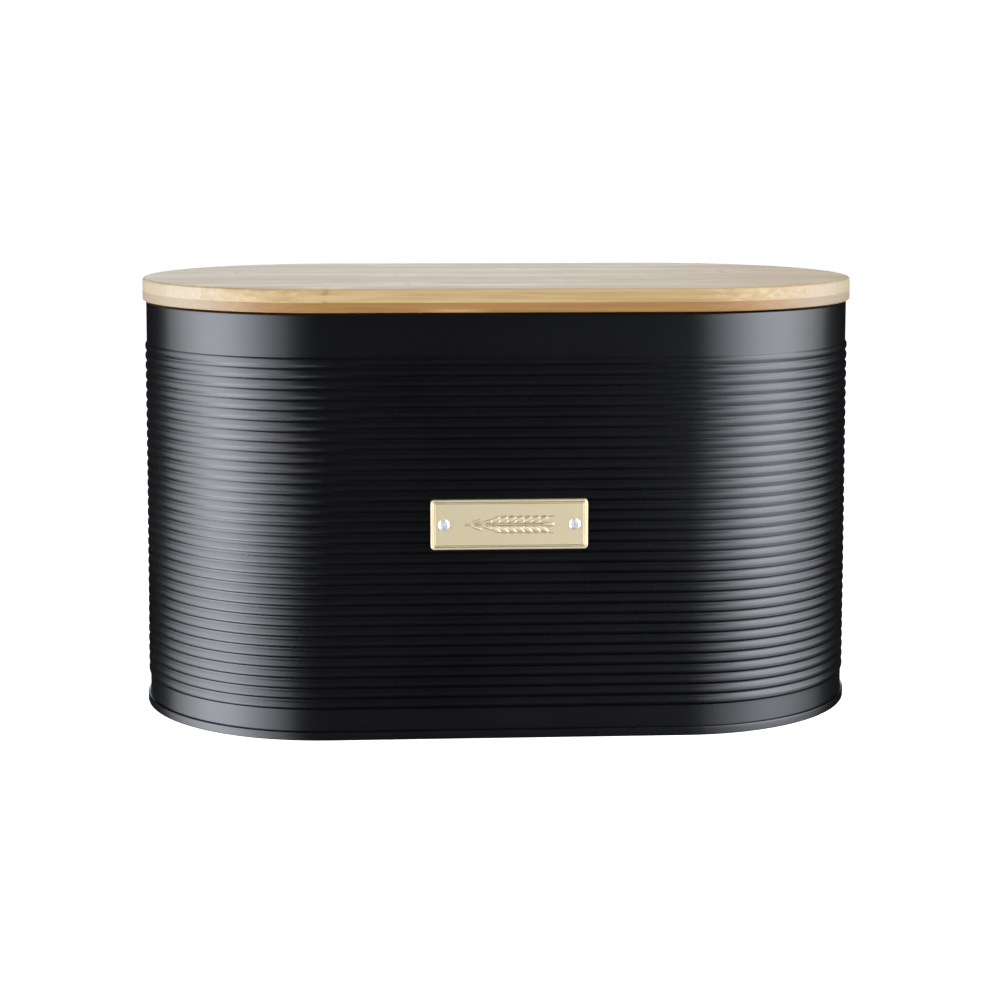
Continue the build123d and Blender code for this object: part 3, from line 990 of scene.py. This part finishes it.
def build_seal():
    """Silicone ring with two rounded lips, seated in the plug's groove."""
    back = plug_offset - SEAL_GROOVE_DEPTH + SEAL_PLAY
    half = SEAL_GROOVE_HEIGHT / 2 - SEAL_PLAY
    lip_radius = half / 2
    shoulder = plug_offset - SEAL_SHOULDER
    section = [(back, curl_centre - half), (shoulder, curl_centre - half)]
    for lip_centre in (curl_centre - lip_radius, curl_centre + lip_radius):
        for step in range(SEAL_LIP_STEPS + 1):
            angle = math.radians(-90 + 180 * step / SEAL_LIP_STEPS)
            out = shoulder + (SEAL_LIP + SEAL_SHOULDER) * math.cos(angle)
            section.append((out, lip_centre + lip_radius * math.sin(angle)))
    section.append((back, curl_centre + half))
    section = np.array(section)
    stations = slot_stations(END_STEPS, FRONT_XS)
    vertices = place_section(stations, section[:, 0], section[:, 1])
    obj = finish_mesh("seal", vertices, ring_faces(len(stations), len(section)), sharp_angle=60.0)
    return dress(obj, silicone_material, "lid", "seal_silicone", "lid_seal")


build_lid()
build_seal()


# ---------------------------------------------------------------- floor, light and camera

# The floor's half width in metres, and its glow, painted light that keeps it white: pairs of metres from
# the middle and strength, weaker near the bin so that the bin's shadow shows there
FLOOR_HALF = 6.0
FLOOR_BRIGHTNESS = ((0.15, 0.90), (0.85, 1.0))


def build_floor():
    """A large pale floor under soft light that also glows, painted light a little weaker near the bin; it
    stays out of the coat's gloss.
    """
    mesh = bpy.data.meshes.new("floor")
    half = FLOOR_HALF
    corners = [(-half, -half, 0), (half, -half, 0), (half, half, 0), (-half, half, 0)]
    mesh.from_pydata(corners, [], [(0, 1, 2, 3)])
    floor = bpy.data.objects.new("floor", mesh)
    bpy.context.scene.collection.objects.link(floor)
    nodes = Nodes("pale_floor")
    nodes.set(Base_Color=(0.86, 0.86, 0.86, 1), Roughness=0.9, Specular_IOR_Level=0.0)
    away = nodes.add("ShaderNodeVectorMath", Vector=nodes.place((MM, MM, MM)))
    away.operation = "LENGTH"
    # Painted light: the floor's glow, weaker near the bin
    painted_glow = nodes.ramp(away.outputs["Value"], *FLOOR_BRIGHTNESS)
    nodes.set(Emission_Color=(1, 1, 1, 1), Emission_Strength=painted_glow)
    mesh.materials.append(nodes.material)
    floor.visible_glossy = False
    floor.visible_diffuse = False
    floor.visible_shadow = False


def area_light(name, place, aim, size, power, colour=(1, 1, 1)):
    """A soft rectangular light that points at a spot, sizes in metres."""
    data = bpy.data.lights.new(name, "AREA")
    data.shape = "RECTANGLE"
    data.size, data.size_y = size
    data.energy = power
    data.color = colour
    light = bpy.data.objects.new(name, data)
    bpy.context.scene.collection.objects.link(light)
    light.location = place
    light.rotation_euler = (Vector(aim) - Vector(place)).to_track_quat("-Z", "Y").to_euler()
    light.visible_camera = False
    return light


ROOM_COLOUR = (0.003, 0.003, 0.0035, 1)
BACKDROP_COLOUR = (3.3, 3.75, 4.3, 1)

# Edges of the bright backdrop in a direction's parts: axis, where it begins and where it is full
BACKDROP_EDGES = ((1, 0.92, 0.985), (2, 0.03, 0.14))


def build_world():
    """White to the eye; for the object a dark room with a bright backdrop behind it."""
    world = bpy.data.worlds.new("studio")
    bpy.context.scene.world = world
    world.use_nodes = True
    tree = world.node_tree
    seen = tree.nodes.new("ShaderNodeLightPath").outputs["Is Camera Ray"]
    split = tree.nodes.new("ShaderNodeSeparateXYZ")
    tree.links.new(tree.nodes.new("ShaderNodeTexCoord").outputs["Generated"], split.inputs[0])
    shares = []
    for axis, start, end in BACKDROP_EDGES:
        ramp = tree.nodes.new("ShaderNodeMapRange")
        ramp.interpolation_type = "SMOOTHSTEP"
        ramp.inputs["From Min"].default_value = start
        ramp.inputs["From Max"].default_value = end
        tree.links.new(split.outputs[axis], ramp.inputs["Value"])
        shares.append(ramp.outputs["Result"])
    behind = tree.nodes.new("ShaderNodeMath")
    behind.operation = "MULTIPLY"
    tree.links.new(shares[0], behind.inputs[0])
    tree.links.new(shares[1], behind.inputs[1])
    room = tree.nodes.new("ShaderNodeMix")
    room.data_type = "RGBA"
    tree.links.new(behind.outputs[0], room.inputs["Factor"])
    room.inputs[6].default_value = ROOM_COLOUR
    room.inputs[7].default_value = BACKDROP_COLOUR
    mix = tree.nodes.new("ShaderNodeMix")
    mix.data_type = "RGBA"
    tree.links.new(seen, mix.inputs["Factor"])
    tree.links.new(room.outputs[2], mix.inputs[6])
    mix.inputs[7].default_value = (1, 1, 1, 1)
    tree.links.new(mix.outputs[2], tree.nodes["Background"].inputs["Color"])


LIGHT_COLOUR = (0.96, 0.98, 1.0)

# Softboxes: azimuths and the half angles of their layers in degrees, and the step between the layers
LEFT_AZIMUTH = -71
RIGHT_AZIMUTH = 64
LEFT_LAYERS = (12, 22, 32, 44)
RIGHT_LAYERS = (13, 23, 33, 44)
SOFTBOX_LAYER_STEP = 0.03


def softbox(name, azimuth, distance, height_span, half_angles, radiance):
    """A tall soft light beside the bin, brightest in its middle: rectangles of growing width in a row.

    The azimuth is in degrees from the front, positive to the right, and lengths are in metres.
    """
    turn = math.radians(azimuth)
    middle = sum(height_span) / 2
    tall = height_span[1] - height_span[0]
    for index, half_angle in enumerate(half_angles):
        back = distance + SOFTBOX_LAYER_STEP * index
        place = (back * math.sin(turn), -back * math.cos(turn), middle)
        wide = 2 * back * math.tan(math.radians(half_angle))
        power = math.pi * radiance / len(half_angles) * wide * tall
        area_light(f"{name}_{index + 1}", place, (0, 0, middle), (wide, tall), power, LIGHT_COLOUR)


# Light off the floor on each side of the bin: place and sizes in metres, turn and spread in degrees,
# and how far it leans inward for each metre up
GLOW_PLACE = (0.265, -0.071)
GLOW_TURN = 48.0
GLOW_HALF_WIDTHS = (0.03, 0.06, 0.09, 0.20)
GLOW_DEPTH = 0.09
GLOW_LAYER_STEP = 0.004
GLOW_LEAN = 0.02
GLOW_SPREAD = 120.0


def floor_glow(name, side, radiance):
    """Light off the floor beside the bin, seen only in gloss: flat rectangles of growing width.

    It reaches the lower slopes of the upper beads. Side 1 is the right, and -1 the left.
    """
    turn = math.radians(side * GLOW_TURN)
    upward = Vector((-math.sin(turn) * GLOW_LEAN, math.cos(turn) * GLOW_LEAN, 1.0))
    for index, half_width in enumerate(GLOW_HALF_WIDTHS):
        place = Vector((side * GLOW_PLACE[0], GLOW_PLACE[1], -GLOW_LAYER_STEP * (index + 1)))
        wide = 2 * half_width
        power = math.pi * radiance / len(GLOW_HALF_WIDTHS) * wide * GLOW_DEPTH
        size = (wide, GLOW_DEPTH)
        light = area_light(f"{name}_{index + 1}", place, place + upward, size, power, LIGHT_COLOUR)
        light.data.spread = math.radians(GLOW_SPREAD)
        light.visible_diffuse = False


def build_lights():
    """Softboxes on both sides, light off the floor, a card in front and a fill overhead."""
    softbox("left_softbox", LEFT_AZIMUTH, 1.2, (-1.2, 0.95), LEFT_LAYERS, radiance=5.2)
    softbox("right_low_softbox", RIGHT_AZIMUTH, 1.2, (-1.05, 1.0), RIGHT_LAYERS, radiance=2.1)
    softbox("right_high_softbox", RIGHT_AZIMUTH, 1.3, (-0.2, 1.0), RIGHT_LAYERS, radiance=2.7)
    floor_glow("left_floor_glow", -1, radiance=2.8)
    floor_glow("right_floor_glow", 1, radiance=1.5)
    area_light("right_top_softbox", (1.05, -0.40, 1.30), aim=(0, 0, 0.2), size=(1.2, 1.2), power=11.0)
    area_light("front_card", (0.06, -1.5, -0.28), aim=(0.0, 0.0, -0.28), size=(0.8, 0.55), power=0.08)
    overhead = area_light("overhead_fill", (0.3, 0.0, 1.6), aim=(0.0, 0.0, 0.2), size=(1.6, 1.6), power=4.5)
    overhead.visible_glossy = False


# The camera's place and turn, in metres and radians, and its focal length in image widths
CAMERA_PLACE = Vector((-0.0666, -1.0825, 0.2794))
CAMERA_YAW = 0.0625
CAMERA_PITCH = -0.0969
CAMERA_ROLL = 0.0016
FOCAL_WIDTHS = 2.2618
FRAME_SHIFT = -0.165
SENSOR_WIDTH = 36.0
CLIP_START = 0.05


def build_camera():
    """The camera, turned to the right by its yaw, up by its pitch and then rolled."""
    data = bpy.data.cameras.new("camera")
    data.sensor_width = SENSOR_WIDTH
    data.lens = FOCAL_WIDTHS * SENSOR_WIDTH
    data.shift_y = FRAME_SHIFT
    data.clip_start = CLIP_START
    camera = bpy.data.objects.new("camera", data)
    bpy.context.scene.collection.objects.link(camera)
    level = math.cos(CAMERA_PITCH)
    ahead = Vector((math.sin(CAMERA_YAW) * level, math.cos(CAMERA_YAW) * level, math.sin(CAMERA_PITCH)))
    right = Vector((math.cos(CAMERA_YAW), -math.sin(CAMERA_YAW), 0))
    up = right.cross(ahead)
    tilted_right = right * math.cos(CAMERA_ROLL) + up * math.sin(CAMERA_ROLL)
    tilted_up = up * math.cos(CAMERA_ROLL) - right * math.sin(CAMERA_ROLL)
    turn = Matrix((tilted_right, tilted_up, -ahead)).transposed().to_4x4()
    camera.matrix_world = Matrix.Translation(CAMERA_PLACE) @ turn
    bpy.context.scene.camera = camera


build_floor()
build_world()
build_lights()
build_camera()
bpy.context.scene.view_settings.view_transform = "Standard"
